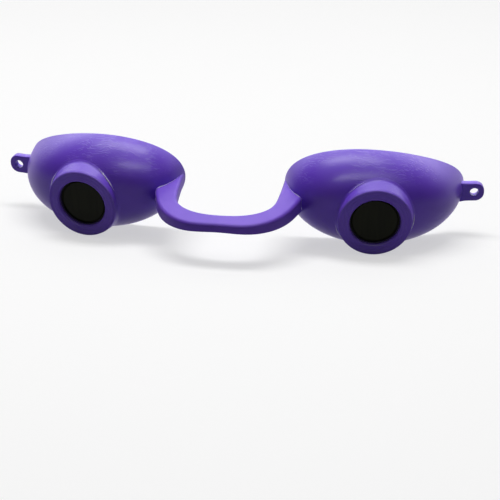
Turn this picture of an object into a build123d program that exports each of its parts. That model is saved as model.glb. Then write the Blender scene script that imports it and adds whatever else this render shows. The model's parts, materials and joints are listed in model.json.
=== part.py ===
"""Tanning goggles: two domed eyecups on one springy nose bridge.

Each cup carries a short barrel with a dark lens in front and a strap lug at its outer end.
The bridge bends near its two corners, so it is split there into a middle bar and two arms.

The pieces are drawn as the goggles are worn: barrels forwards along -Y, Z up, and the origin
midway between the two ring faces. The wearer's left is +X. Each left piece is drawn in the
left eye's own frame, u outwards to the temple, v up and w forwards along the barrel, and is
mirrored for the right. Last, everything leans forwards until the rings and the cups touch
one level surface, as the goggles lie on a table.
"""
import math
import os

from build123d import *

# Places of the two eyes, in millimetres and degrees
ring_spacing = 71.7
splay_angle = 9.7

# Lens barrel: a ring with a stepped bore
window_radius = 6.1
ring_width = 2.7
window_depth = 0.9
barrel_flare_share = 0.18
barrel_length = 9.6
ring_round = 0.4
window_chamfer = 0.25

# Lens, and the sleeve that holds it behind the window
lens_lap = 0.7
lens_thickness = 1.5
lens_edge = 0.15
lens_clearance = 0.05
sleeve_wall = 0.8
bead_height = 0.3
bead_width = 0.6

# Eyecup: crown place, reach each way from the crown, and depth where that reach is full
crown_in = 1.6
crown_up = 0.9
crown_depth = 1.0
inner_reach = 19.6
outer_reach = 26.0
upper_reach = 12.7
lower_reach = 12.0
inner_depth = 18.0
outer_depth = 29.7
level_depth = 13.1
inner_fullness_share = 2.8
outer_fullness_share = 2.46
level_fullness_share = 2.26
roll_angle = 8.7
cup_wall = 1.4
rim_round = 0.35

# The face that the cup's rim follows: an upright cylinder
face_radius = 37.9
face_in = 3.0
rim_depth = 12.2

# Nose bridge: a flat-topped band, seen from above
bridge_top = 4.2
bridge_reach = 12.4
bar_width = 4.9
bar_height = 2.3
arm_width = 5.6
arm_height = 3.9
top_round = 0.85
bottom_round = 0.35

# Where the bridge bends, along its front edge, and the running gap there
bend_share = 0.53
bend_clearance = 0.15

# Strap lug: a flat tongue with a round hole
lug_out = 2.9
lug_depth = 18.7
lug_drop = 2.2
lug_height = 4.85
lug_tip = 2.45
lug_corner = 2.2
lug_thickness = 1.8
lug_edge = 0.3
strap_hole_radius = 1.1
strap_hole_chamfer = 0.2

# One overrun for every cutting tool, and the crown's first section
overrun = 2.0
crown_start = 0.1

# How finely the resting lean is searched for, as a share of its range
lean_step_share = 1e-7

# Depths of the cup's sections as shares of the dome's whole depth, to just past the rim
section_shares = (0.019, 0.051, 0.101, 0.17, 0.256, 0.362, 0.458, 0.533, 0.628, 0.746, 0.879, 1.0)

# Outlines of the bridge seen from above. Across, each is in shares of its own arm root's place;
# forwards of the rings it is in shares of its own reach, behind them of the cup's nose end.
front_edge_shares = ((0.0, -1.0), (0.41, -0.97), (0.7, -0.715), (0.915, -0.19), (1.0, 0.22))
back_edge_shares = ((0.0, -1.0), (0.55, -0.845), (0.9, -0.335), (0.985, 0.19), (1.01, 0.88))
arm_heart_shares = (0.72, 1.06)

# Sizes that follow from the ones above
lens_radius = window_radius + lens_lap
seat_radius = lens_radius + lens_clearance
sleeve_radius = seat_radius + sleeve_wall
bead_radius = seat_radius - bead_height
ring_radius = window_radius + ring_width
lens_back = window_depth + lens_thickness
sleeve_length = lens_back + bead_width
splay = math.radians(splay_angle)
roll = math.radians(roll_angle)


def eye_point(u, w):
    """Place, seen from above, of a point u outwards and w forwards in the left eye's frame."""
    x = ring_spacing / 2 + u * math.cos(splay) + w * math.sin(splay)
    y = u * math.sin(splay) - w * math.cos(splay)
    return x, y


def reach_at(full_reach, full_depth, fullness_share, depth):
    """Reach of one quarter of the dome at a depth below its crown, by a superellipse."""
    share = min(max(depth / full_depth, 0), 1)
    return full_reach * (1 - (1 - share) ** fullness_share) ** (1 / fullness_share)


def reaches(depth, inset):
    """Reaches outwards, up, inwards and down at one depth below the crown, inset by a wall."""
    below = depth - inset
    outward = reach_at(outer_reach - inset, outer_depth - inset, outer_fullness_share, below)
    upward = reach_at(upper_reach - inset, level_depth - inset, level_fullness_share, below)
    inward = reach_at(inner_reach - inset, inner_depth - inset, inner_fullness_share, below)
    downward = reach_at(lower_reach - inset, level_depth - inset, level_fullness_share, below)
    return outward, upward, inward, downward


def dome_section(depth, inset):
    """Closed level outline of the dome: four quarter ellipses that share their ends."""
    outward, upward, inward, downward = reaches(depth, inset)
    centre = (0, 0)
    outline = Wire(
        [
            EllipticalCenterArc(centre, outward, upward, 0, arc_size=90),
            EllipticalCenterArc(centre, inward, upward, 90, arc_size=90),
            EllipticalCenterArc(centre, inward, downward, 180, arc_size=90),
            EllipticalCenterArc(centre, outward, downward, 270, arc_size=90),
        ]
    )
    place = Location((-crown_in, crown_up, -crown_depth - depth), (0, 0, -roll_angle))
    return outline.moved(place)


def dome_depths(inset, extra_depth):
    """Depths of the dome's sections, from its crown to past the rim's deepest point."""
    temple_end = outer_reach * math.cos(roll) - crown_in
    last_depth = rim_depth_at(temple_end) - crown_depth + overrun + extra_depth
    return [inset + (last_depth - inset) * share for share in section_shares]


def dome_solid(inset, extra_depth):
    """Filled dome from its crown to past the rim, lofted through its level outlines."""
    depths = [inset + crown_start] + dome_depths(inset, extra_depth)
    return Solid.make_loft([dome_section(depth, inset) for depth in depths])


def face_cylinder():
    """The wearer's face as the rim meets it, with its axis upright behind the cup."""
    height = 4 * (upper_reach + lower_reach)
    centre = (-face_in, 0, -rim_depth - face_radius)
    upright = Plane(origin=centre, x_dir=(1, 0, 0), z_dir=(0, 1, 0))
    return upright * Cylinder(face_radius, height)


def round_edges(shape, radius):
    """The circular edges of a shape that have one radius."""
    circles = shape.edges().filter_by(GeomType.CIRCLE)
    return circles.filter_by(lambda edge: abs(edge.radius - radius) < radius / 1000)


def along_barrel(radius, front, back):
    """Cylinder round the barrel's axis between two depths behind the ring face."""
    length = back - front
    return Pos(0, 0, -(front + back) / 2) * Cylinder(radius, length)


def on_rim(edge):
    """True for an edge that lies on the face's cylinder all along."""
    gaps = []
    for share in (0.0, 0.5, 1.0):
        point = edge @ share
        reach = math.hypot(point.X + face_in, point.Z + rim_depth + face_radius)
        gaps.append(abs(reach - face_radius))
    return max(gaps) < rim_round / 10


def eyecup(dome):
    """Thin bowl with the saddle-shaped rim and the hole that the barrel's sleeve fills."""
    hollow = dome_solid(cup_wall, overrun)
    bowl = keep_largest(dome - hollow - face_cylinder())
    rim_edges = bowl.edges().filter_by(on_rim)
    bowl = fillet(rim_edges, rim_round)
    return keep_largest(bowl - along_barrel(sleeve_radius, -overrun, level_depth))


def lens_barrel(dome):
    """Flared ring on the dome, with a sleeve through the cup, a lens seat and a snap bead."""
    root_radius = ring_radius + barrel_flare_share * barrel_length
    collar = Pos(0, 0, -barrel_length / 2) * Cone(root_radius, ring_radius, barrel_length)
    front_rim = collar.edges().sort_by(Axis.Z)[-1]
    collar = fillet(front_rim, ring_round)
    collar = collar - along_barrel(sleeve_radius, sleeve_length, barrel_length + overrun)
    barrel = keep_largest(collar - dome + along_barrel(sleeve_radius, window_depth, sleeve_length))
    barrel = barrel - along_barrel(window_radius, -overrun, barrel_length)
    barrel = barrel - along_barrel(seat_radius, window_depth, lens_back)
    barrel = barrel - along_barrel(bead_radius, window_depth, sleeve_length + overrun)
    mouth_radius = window_radius + window_chamfer
    mouth = Cone(window_radius, mouth_radius, window_chamfer)
    return keep_largest(barrel - Pos(0, 0, -window_chamfer / 2) * mouth)


def lens():
    """Dark round disc against the back of the window, with its edges just broken."""
    disc = along_barrel(lens_radius, window_depth, lens_back)
    return chamfer(disc.edges(), lens_edge)


def strap_lug(dome):
    """Flat tongue at the temple end, square to the barrel, with a broken-edged strap hole."""
    hole_out = lug_centre()[0]
    length = lug_tip + 2 * lug_out
    tongue = Pos(hole_out + lug_tip - length / 2, -lug_drop) * RectangleRounded(
        length, lug_height, lug_corner
    )
    plate = extrude(tongue, amount=lug_thickness / 2, both=True)
    plate = chamfer(plate.faces().sort_by(Axis.Z)[-1].edges(), lug_edge)
    plate = chamfer(plate.faces().sort_by(Axis.Z)[0].edges(), lug_edge)
    plate = plate - Pos(hole_out, -lug_drop) * Cylinder(strap_hole_radius, 2 * lug_thickness)
    plate = chamfer(round_edges(plate, strap_hole_radius), strap_hole_chamfer)
    return keep_largest(Pos(0, 0, -lug_depth) * plate - dome)


def lug_centre():
    """Centre of the strap hole in the eye's frame: out from the cup's wall at that depth."""
    outward = reaches(lug_depth - crown_depth, 0)[0]
    return -crown_in + outward * math.cos(roll) + lug_out, -lug_drop, -lug_depth


def keep_largest(shape):
    """The largest solid of a shape, so that no sliver is left beside it."""
    return max(shape.solids(), key=lambda solid: solid.volume)


def rim_depth_at(u):
    """Depth of the cup's rim, where it meets the wearer's face, a distance u outwards."""
    aside = u + face_in
    return rim_depth + face_radius - math.sqrt(face_radius**2 - aside**2)


def nose_end():
    """Place of the cup's nose end at the rim, seen from above."""
    u = -crown_in - inner_reach * math.cos(roll)
    return eye_point(u, -rim_depth_at(u))


def plan_points(edge_shares, width, reach, root):
    """Outline points: forwards of the rings by shares of the reach, behind them of the root."""
    return [(x * width, y * (reach if y < 0 else root)) for x, y in edge_shares]


def bridge_edges():
    """Front and back edges of the left half of the bridge, from its middle to the cup."""
    inner_x, root_y = nose_end()
    front = plan_points(front_edge_shares, inner_x + arm_width, bridge_reach, root_y)
    back = plan_points(back_edge_shares, inner_x, bridge_reach - bar_width, root_y)
    root_way = Vector(*front[-1]) - Vector(*front[-2])
    front_edge = Spline(front, tangents=[(1, 0), root_way])
    back_edge = Spline(back, tangents=[(1, 0), (0, 1)])
    return front_edge, back_edge


def bridge_plan():
    """Left half of the bridge seen from above, run into the cup at its root."""
    front_edge, back_edge = bridge_edges()
    out_share, back_share = arm_heart_shares
    heart = eye_point(-inner_reach * out_share, -rim_depth * back_share)
    root = Polyline(front_edge @ 1, heart, back_edge @ 1)
    middle = Line(back_edge @ 0, front_edge @ 0)
    return make_face([front_edge, root, back_edge, middle])


def nose_arch():
    """The cylinder that hollows the underside, so that the bridge grows taller to each side."""
    root_x = (bridge_edges()[0] @ 1).X
    rise = arm_height - bar_height
    arch_radius = (root_x**2 + rise**2) / (2 * rise)
    centre = Pos(0, 0, bridge_top - bar_height - arch_radius)
    return centre * Rot(90, 0, 0) * Cylinder(arch_radius, 2 * arch_radius)


def bridge_band():
    """Left half of the bridge as one rounded band, before it is split where it bends."""
    low = bridge_top - arm_height - overrun
    plan = extrude(Pos(0, 0, low) * bridge_plan(), amount=bridge_top - low)
    band = keep_largest(plan - nose_arch())
    long_edges = band.edges().filter_by(GeomType.BSPLINE)
    top_edges = long_edges.filter_by(lambda edge: edge.center().Z > bridge_top - top_round)
    band = fillet(top_edges, top_round)
    long_edges = band.edges().filter_by(GeomType.BSPLINE)
    low_edges = long_edges.filter_by(lambda edge: edge.center().Z < bridge_top - bar_height)
    return fillet(low_edges, bottom_round)


def bend():
    """Centre and radius of the round joint in the band, and the plane that splits it there."""
    front_edge, back_edge = bridge_edges()
    outer = front_edge @ bend_share
    inner = back_edge.closest_points(outer)[0]
    centre = (outer + inner) / 2
    along = Vector(inner.Y - outer.Y, outer.X - inner.X)
    return centre, (outer - inner).length / 2, Plane(origin=centre, z_dir=along)


def bridge_pieces(dome):
    """Middle bar of the bridge, and the left arm, whose round end turns in the bar's seat."""
    band = bridge_band()
    centre, radius, divide = bend()
    height = 4 * arm_height
    knuckle = Pos(centre.X, centre.Y, bridge_top) * Cylinder(radius, height)
    seat = Pos(centre.X, centre.Y, bridge_top) * Cylinder(radius + bend_clearance, height)
    arm = split(band, bisect_by=divide, keep=Keep.TOP) + (band & knuckle)
    arm = keep_largest(arm - eye_frame() * dome)
    half_bar = keep_largest(split(band, bisect_by=divide, keep=Keep.BOTTOM) - seat)
    bar = half_bar + mirror(half_bar, about=Plane.YZ)
    return bar.solid(), arm


def eye_frame():
    """The left eye's frame: u outwards, v up and w forwards from the middle of its ring face."""
    x, y = eye_point(0, 0)
    return Plane(
        origin=(x, y, 0),
        x_dir=(math.cos(splay), math.sin(splay), 0),
        z_dir=(math.sin(splay), -math.cos(splay), 0),
    )


def left_pieces():
    """The pieces of the left eye, in their places as worn, and the middle bar."""
    dome = dome_solid(0, 0)
    bar, arm = bridge_pieces(dome)
    frame = eye_frame()
    pieces = {
        "bridge_arm": arm,
        "eyecup": frame * eyecup(dome),
        "lens_barrel": frame * lens_barrel(dome),
        "lens": frame * lens(),
        "strap_lug": frame * strap_lug(dome),
    }
    return bar, pieces


def low_points(lean):
    """Heights of the lowest points of the ring and of the cup once the goggles lean forwards."""
    ring_low = -ring_radius * math.hypot(math.cos(lean), math.sin(splay) * math.sin(lean))
    cup_lows = []
    for depth in dome_depths(0, 0):
        outward, upward, inward, downward = reaches(depth, 0)
        drop = math.hypot(downward * math.cos(roll), outward * math.sin(roll))
        low_out = outward**2 * math.sin(roll) * math.cos(roll) / drop - crown_in
        place_y = eye_point(low_out, -crown_depth - depth)[1]
        if depth + crown_depth < rim_depth_at(low_out):
            cup_lows.append((crown_up - drop) * math.cos(lean) + place_y * math.sin(lean))
    return ring_low, min(cup_lows)


def resting_lean():
    """Forward lean, in degrees, at which ring and cup reach down equally far, by halving."""
    steepest = math.pi / 4
    least, most = 0, steepest
    while most - least > lean_step_share * steepest:
        lean = (least + most) / 2
        ring_low, cup_low = low_points(lean)
        if ring_low > cup_low:
            least = lean
        else:
            most = lean
    return math.degrees(least)


def resting_place(shapes):
    """Location that leans the goggles forwards and sets them down over the origin."""
    lean = Rot(resting_lean(), 0, 0)
    box = Compound([lean * shape for shape in shapes]).bounding_box()
    return Pos(0, -box.center().Y, -box.min.Z) * lean


def main():
    """Draw every piece, write each to its own file and print the places of the interfaces."""
    os.makedirs("parts", exist_ok=True)
    bar, left = left_pieces()
    nodes = {"nose_bridge": bar}
    for name, piece in left.items():
        nodes["left_" + name] = piece
        nodes["right_" + name] = mirror(piece, about=Plane.YZ)
    place = resting_place(list(nodes.values()))
    for name, piece in nodes.items():
        export_step(place * piece, "parts/" + name + ".step")
    hinge, hinge_radius, divide = bend()
    marks = {
        "left bend": place * Pos(hinge.X, hinge.Y, bridge_top),
        "left strap hole": place * eye_frame().location * Pos(*lug_centre()),
        "left ring face": place * eye_frame().location,
    }
    print(f"lean {resting_lean():.4f} degrees, bend radius {hinge_radius:.3f}")
    for name, spot in marks.items():
        axis = Plane(spot).z_dir
        print(f"{name} at {Vector(spot.position)}, along {axis}")


main()
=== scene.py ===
# %% [markdown]
# # Tanning goggles in soft violet plastic
#
# The goggles are two domed eyecups on one springy nose bridge. Each cup carries a short
# barrel with a dark lens in front, and a strap lug at its outer end.
#
# Every piece here is a surface worked out with numpy. A shape is written as the goggles are
# worn, in millimetres: x to the wearer's left, y backwards into the face and z up. One step
# then leans it forwards into the frame of the CAD model, where the goggles lie on a table.

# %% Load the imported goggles
import json
import math

import bpy
import numpy as np
from mathutils import Matrix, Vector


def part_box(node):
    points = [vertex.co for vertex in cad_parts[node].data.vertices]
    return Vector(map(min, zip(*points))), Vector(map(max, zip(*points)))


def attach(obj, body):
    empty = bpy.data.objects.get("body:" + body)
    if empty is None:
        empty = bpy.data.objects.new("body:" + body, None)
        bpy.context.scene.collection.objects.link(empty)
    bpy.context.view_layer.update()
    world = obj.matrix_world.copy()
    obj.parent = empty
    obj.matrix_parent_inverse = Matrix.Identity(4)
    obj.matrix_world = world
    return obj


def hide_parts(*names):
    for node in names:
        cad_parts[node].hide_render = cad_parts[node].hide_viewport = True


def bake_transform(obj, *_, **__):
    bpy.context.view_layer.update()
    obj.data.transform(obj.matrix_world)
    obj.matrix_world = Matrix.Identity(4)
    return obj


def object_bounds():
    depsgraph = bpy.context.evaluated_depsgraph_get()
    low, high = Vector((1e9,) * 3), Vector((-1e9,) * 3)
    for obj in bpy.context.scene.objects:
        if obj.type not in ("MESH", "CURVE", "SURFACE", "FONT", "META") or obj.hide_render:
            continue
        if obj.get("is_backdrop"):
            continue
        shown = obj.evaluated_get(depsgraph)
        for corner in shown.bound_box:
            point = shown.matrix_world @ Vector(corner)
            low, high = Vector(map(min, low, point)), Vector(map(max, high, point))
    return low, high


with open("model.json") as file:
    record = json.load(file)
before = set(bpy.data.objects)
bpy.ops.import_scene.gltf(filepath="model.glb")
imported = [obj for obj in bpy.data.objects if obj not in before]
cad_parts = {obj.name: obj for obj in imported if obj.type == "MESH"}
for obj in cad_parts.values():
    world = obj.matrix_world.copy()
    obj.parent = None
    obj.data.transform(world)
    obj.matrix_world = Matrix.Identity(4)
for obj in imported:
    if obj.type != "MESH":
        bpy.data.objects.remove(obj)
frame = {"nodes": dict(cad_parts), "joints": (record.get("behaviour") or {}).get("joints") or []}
cad_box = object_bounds()
print("CAD pieces:", len(frame["nodes"]))

# %% [markdown]
# ## From the worn goggles to the table
#
# Sizes are those of the real goggles, in millimetres, and each stands in the step that first
# needs it. A shape could be modelled where it lies, but it is far easier to write upright, with
# a barrel's axis level. The CAD model leans forwards on its rings and the bellies of its cups.
# The hinge of the left eye gives that lean, because it stands upright when the goggles are
# worn, and the middle of the left lens then gives the shift. Both are read from the packed
# model, so the dressed piece can't drift away from it. That middle is known, because the lens
# lies between the window's lip and its own back, 0.9 and 2.4 mm behind the ring's face.

# %% Places: eye frame, worn frame, table
MM = 0.001
RING_SPACING = 71.7
SPLAY = math.radians(9.7)
WINDOW_DEPTH, LENS_BACK = 0.9, 2.4

hinge = next(joint for joint in frame["joints"] if joint["name"] == "left_wrap")
LEAN = math.atan2(-hinge["axis"][1], hinge["axis"][2])


def from_eye(u, v, w):
    """Worn place of a point u outwards, v up and w forwards of the left ring's middle.

    x = half spacing + u cos(splay) + w sin(splay), y = u sin(splay) - w cos(splay), z = v.
    """
    x = RING_SPACING / 2 + u * math.cos(SPLAY) + w * math.sin(SPLAY)
    y = u * math.sin(SPLAY) - w * math.cos(SPLAY)
    return np.stack(np.broadcast_arrays(x, y, v), axis=-1)


def to_eye(points):
    """The inverse of from_eye: u, v and w of worn points."""
    x = points[..., 0] - RING_SPACING / 2
    y = points[..., 1]
    u = x * math.cos(SPLAY) + y * math.sin(SPLAY)
    w = x * math.sin(SPLAY) - y * math.cos(SPLAY)
    return u, points[..., 2], w


def leaned(points):
    """Worn directions or places turned forwards about the x axis by the resting lean."""
    x, y, z = np.moveaxis(np.asarray(points, float), -1, 0)
    c, s = math.cos(LEAN), math.sin(LEAN)
    return np.stack([x, y * c - z * s, y * s + z * c], axis=-1)


lens_middle = from_eye(0.0, 0.0, -(WINDOW_DEPTH + LENS_BACK) / 2)
lens_box = np.array(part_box("left_lens"))
SEAT = lens_box.mean(axis=0) - MM * leaned(lens_middle)


def on_table(points):
    """Worn places in millimetres to places on the table in metres."""
    return MM * leaned(points) + SEAT


print(f"lean {math.degrees(LEAN):.3f} degrees, shift {np.round(SEAT / MM, 3)} mm")

# %% [markdown]
# ## One way to make every skin
#
# A skin is a grid of points: rows along the piece, columns around it. Its faces join each point
# to its neighbours, and whichever ends are open are closed with a fan. If the closed skin comes
# out inside out, its volume is negative and its faces are turned round, which is also what
# makes the mirrored pieces of the right eye correct.

# %% Grid to mesh
def grid_quads(rows, columns, along):
    """Quads between neighbours of a grid that joins round its columns, and along its rows."""
    index = np.arange(rows * columns).reshape(rows, columns)
    beside = np.roll(index, -1, axis=1)
    quads = np.stack([index, beside, np.roll(beside, -1, 0), np.roll(index, -1, 0)], axis=-1)
    return quads[: rows if along else rows - 1].reshape(-1, 4)


def volume(points, triangles):
    """Signed volume: a sixth of the sum of a . (b x c) over the triangles."""
    a, b, c = (points[triangles[:, k]] for k in range(3))
    return np.einsum("ij,ij->", a, np.cross(b, c)) / 6


def skin(name, grid, along=False, traits=None):
    """Mesh object of a grid of worn points (rows, columns, 3), closed and facing outwards.

    along joins the last row to the first, and otherwise both end rows are closed by a fan
    round their mean point. traits are values for each grid point that a material reads.
    """
    rows, columns = grid.shape[:2]
    points = grid.reshape(-1, 3)
    quads = grid_quads(rows, columns, along)
    fans = np.empty((0, 3), int)
    if not along:
        points = np.vstack([points, grid[0].mean(axis=0), grid[-1].mean(axis=0)])
        first = np.arange(columns)
        last = first + (rows - 1) * columns
        centre = np.full(columns, rows * columns)
        front_fan = np.stack([np.roll(first, -1), first, centre], axis=-1)
        back_fan = np.stack([last, np.roll(last, -1), centre + 1], axis=-1)
        fans = np.vstack([front_fan, back_fan])
    points = on_table(points)
    triangles = np.vstack([quads[:, [0, 1, 2]], quads[:, [0, 2, 3]], fans])
    if volume(points, triangles) < 0:
        quads, fans = quads[:, ::-1], fans[:, ::-1]
    mesh = bpy.data.meshes.new(name)
    mesh.from_pydata(points.tolist(), [], quads.tolist() + fans.tolist())
    mesh.shade_smooth()
    for label, values in (traits or {}).items():
        layer = mesh.attributes.new(label, "FLOAT", "POINT")
        flat = np.broadcast_to(values, (rows, columns)).reshape(-1)
        spare = len(points) - len(flat)
        layer.data.foreach_set("value", np.append(flat, np.zeros(spare)).astype(np.float32))
    piece = bpy.data.objects.new(name, mesh)
    bpy.context.scene.collection.objects.link(piece)
    return piece


SIDES = {"left": np.array([1.0, 1.0, 1.0]), "right": np.array([-1.0, 1.0, 1.0])}
print("sides:", list(SIDES))

# %% [markdown]
# ## Meetings and rounded corners
#
# On the real goggles every surface runs into the next without a gap. Boolean cuts could do
# that, but they leave ragged meshes. Here each line of a grid looks for the place where it
# meets the other surface, by halving the way to it again and again, which needs nothing but a
# test of which side a point is on. Sharp corners are then rounded by a short curve.

# %% Halving, rounding and directions
def halved(test, low, high, steps=44):
    """Where a test stops being true between two bounds, by halving, for a whole array."""
    for _ in range(steps):
        middle = (low + high) / 2
        holds = test(middle)
        low, high = np.where(holds, middle, low), np.where(holds, high, middle)
    return (low + high) / 2


def corner_rows(start, corner, end, steps=5, weight=1.0):
    """Rows that round a corner: (1-t)^2 start + 2t(1-t) w corner + t^2 end, over their weights."""
    t = np.linspace(0, 1, steps)[:, None, None]
    start_part, corner_part, end_part = (1 - t) ** 2, 2 * t * (1 - t) * weight, t**2
    whole = start_part + corner_part + end_part
    return (start_part * start + corner_part * corner + end_part * end) / whole


def normalised(ways):
    """Vectors divided by their lengths."""
    return ways / np.linalg.norm(ways, axis=-1, keepdims=True)


print("halving finds the root of 2:", halved(lambda x: x**2 < 2, np.zeros(1), np.full(1, 2.0)))

# %% [markdown]
# ## The dome
#
# The cup is a thin bowl that was moulded in one go. Seen along the barrel it is four quarter
# ellipses that share their ends. Its reach each way grows with depth along a superellipse: a
# full reach, the depth at which it is full, and a fullness. With these three handles it can be
# bulged at the brow and drawn in at the nose without any sculpting. The whole outline is rolled
# a little, so that the temple end hangs lower than the nose end. Box modelling could come
# close, but a formula lets the barrel, the lug and the bridge find the dome's surface exactly,
# which is what makes their roots look moulded and not pushed in.

# %% The dome as a formula
CROWN_IN, CROWN_UP, CROWN_DEPTH = 1.6, 0.9, 1.0
OUT_REACH, UP_REACH, IN_REACH, DOWN_REACH = 26.0, 12.7, 19.6, 12.0
OUT_DEPTH, LEVEL_DEPTH, IN_DEPTH = 29.7, 13.1, 18.0
OUT_FULLNESS, LEVEL_FULLNESS, IN_FULLNESS = 2.46, 2.26, 2.8
ROLL = math.radians(8.7)
LEAST_REACH = 0.001


def reaches(depth, inset):
    """Reach outwards, up, inwards and down at a depth below the crown, inset by a wall.

    reach = full reach (1 - (1 - depth / full depth)^fullness)^(1 / fullness)
    """
    found = []
    for full, full_depth, fullness in (
        (OUT_REACH, OUT_DEPTH, OUT_FULLNESS),
        (UP_REACH, LEVEL_DEPTH, LEVEL_FULLNESS),
        (IN_REACH, IN_DEPTH, IN_FULLNESS),
        (DOWN_REACH, LEVEL_DEPTH, LEVEL_FULLNESS),
    ):
        share = np.clip((depth - inset) / (full_depth - inset), 0, 1)
        found.append((full - inset) * (1 - (1 - share) ** fullness) ** (1 / fullness))
    return found


def dome_point(turn, depth, inset=0.0):
    """u, v and w of the dome at an angle round its crown and a depth below it."""
    outward, upward, inward, downward = reaches(depth, inset)
    a = np.cos(turn) * np.where(np.cos(turn) > 0, outward, inward)
    b = np.sin(turn) * np.where(np.sin(turn) > 0, upward, downward)
    u = a * math.cos(ROLL) + b * math.sin(ROLL) - CROWN_IN
    v = -a * math.sin(ROLL) + b * math.cos(ROLL) + CROWN_UP
    return u, v, -CROWN_DEPTH - depth + 0 * u


def dome_share(u, v, w, inset=0.0):
    """Below 1 inside the dome and above 1 outside: (a / reach)^2 + (b / reach)^2 at that depth."""
    a = (u + CROWN_IN) * math.cos(ROLL) - (v - CROWN_UP) * math.sin(ROLL)
    b = (u + CROWN_IN) * math.sin(ROLL) + (v - CROWN_UP) * math.cos(ROLL)
    outward, upward, inward, downward = (
        np.maximum(reach, LEAST_REACH) for reach in reaches(-w - CROWN_DEPTH, inset)
    )
    level, steep = a / np.where(a > 0, outward, inward), b / np.where(b > 0, upward, downward)
    return level**2 + steep**2


def dome_height(u, v, inset=0.0):
    """w of the dome's surface over a place u, v, by halving the depth at which it is reached."""
    test = lambda depth: dome_share(u, v, -CROWN_DEPTH - depth, inset) > 1
    return -CROWN_DEPTH - halved(test, np.zeros_like(u), np.full_like(u, OUT_DEPTH))


print(f"dome {OUT_REACH + IN_REACH:.1f} mm long and {UP_REACH + DOWN_REACH:.1f} mm high")

# %% [markdown]
# ## Eyecup skins
#
# The bowl is one closed skin: down the outside from the hole under the barrel to the rim, over
# the thin rounded rim, and back up the inside to the hole. The rim is a saddle, because it lies
# on the face, which is taken as an upright cylinder. A bowl could be cut with that cylinder
# afterwards, but here each column of the grid simply ends on it, so nothing has to be cut.

# %% Where the bowl starts and ends
CUP_WALL = 1.4
FACE_RADIUS, FACE_IN, RIM_DEPTH = 37.9, 3.0, 12.2
SLEEVE_RADIUS = 7.65
CUP_COLUMNS = 240
turn = np.linspace(0, 2 * math.pi, CUP_COLUMNS, endpoint=False)


def rim_depth_at(u):
    """Depth of the face's cylinder at a place: depth + radius - sqrt(radius^2 - across^2)."""
    return RIM_DEPTH + FACE_RADIUS - np.sqrt(FACE_RADIUS**2 - (u + FACE_IN) ** 2)


def wall_place(depth, inset):
    """Worn place of every column of one side of the bowl at a depth below the crown."""
    return from_eye(*dome_point(turn, depth, inset))


def wall_ends(inset):
    """Depths at which one side of the bowl leaves the hole and meets the face's cylinder."""
    def past_hole(depth):
        u, v, _ = dome_point(turn, depth, inset)
        return u**2 + v**2 < SLEEVE_RADIUS**2

    def before_rim(depth):
        u, _, w = dome_point(turn, depth, inset)
        return -w < rim_depth_at(u)

    full = np.full_like(turn, OUT_DEPTH)
    hole = halved(past_hole, np.full_like(turn, inset), full)
    return hole, halved(before_rim, hole, full)


rim_depths = wall_ends(0.0)[1]
print(f"rim {rim_depths.min():.1f} to {rim_depths.max():.1f} mm below the crown")

# %% Rounded corner of the rim
RIM_ROUND, RIM_STEP = 0.35, 0.1


def toward(start, end, distance):
    """Points a distance from start on the way to end."""
    way = end - start
    return start + way * distance / np.linalg.norm(way, axis=-1, keepdims=True)


def rim_corner(inset, other_inset):
    """Depth where the rounding starts, the sharp corner, how far it is cut back, and its weight.

    A round of radius r in a corner of angle a starts r / tan(a / 2) from the corner, and a
    weight of sin(a / 2) makes its curve a true arc.
    """
    depth = wall_ends(inset)[1]
    corner, before = wall_place(depth, inset), wall_place(depth - RIM_STEP, inset)
    across = wall_place(wall_ends(other_inset)[1], other_inset) - corner
    wall = before - corner
    wall_length, across_length = (np.linalg.norm(way, axis=-1) for way in (wall, across))
    pace = wall_length / RIM_STEP
    half = np.arccos((wall * across).sum(axis=-1) / (wall_length * across_length)) / 2
    back = RIM_ROUND / np.tan(half)
    return depth - back / pace, corner, back[:, None], np.sin(half)[:, None]


rim_cut = rim_corner(0.0, CUP_WALL)[2]
print(f"rim's outer corner is cut back {rim_cut.min():.2f} to {rim_cut.max():.2f} mm")

# %% Eyecups
HOLE_ROUND = 0.2
CUP_ROWS, ROW_CROWDING = 84, 1.5


def wall_rows(inset, stop, steps):
    """Rows of one side of the bowl, from the hole to a depth near the rim, closer at the hole."""
    hole = wall_ends(inset)[0]
    share = np.linspace(0, 1, steps)[:, None] ** ROW_CROWDING
    return wall_place(hole + (stop - hole) * share, inset)


def cup_grid():
    """Closed rows of the bowl: outside, rounded rim, inside, and the rounded back of the hole."""
    outer_stop, outer_corner, outer_back, outer_weight = rim_corner(0.0, CUP_WALL)
    inner_stop, inner_corner, inner_back, inner_weight = rim_corner(CUP_WALL, 0.0)
    outer = wall_rows(0.0, outer_stop, CUP_ROWS)
    inner = wall_rows(CUP_WALL, inner_stop, CUP_ROWS // 2)[::-1]
    outer_edge = toward(outer_corner, inner_corner, outer_back)
    inner_edge = toward(inner_corner, outer_corner, inner_back)
    hole_corner = inner[-1]
    inner[-1] = toward(hole_corner, inner[-3], HOLE_ROUND)
    hole_edge = toward(hole_corner, outer[0], HOLE_ROUND)
    return np.concatenate(
        [
            outer,
            corner_rows(outer[-1], outer_corner, outer_edge, weight=outer_weight)[1:],
            corner_rows(inner_edge, inner_corner, inner[0], weight=inner_weight)[:-1],
            inner[:-2],
            corner_rows(inner[-1], hole_corner, hole_edge),
        ]
    )


cup_rows = cup_grid()
cups = {
    side: skin(side + "_cup_skin", cup_rows * flip, along=True) for side, flip in SIDES.items()
}
print("eyecup grid", cup_rows.shape, "faces", len(cups["left"].data.polygons))

# %% [markdown]
# ## Barrel skins
#
# The barrel is a ring with a flared side that grows out of the dome. Its front is turned: a
# round profile swept about the barrel's axis, with two faint lathe steps in its flat face. A
# turned tube could be pushed into the dome, but the real root is moulded on. So each column of
# the grid looks for the dome by halving, and runs into it with a small hollow. Inside are the
# lens's seat and the small bead that it snaps past.

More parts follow.
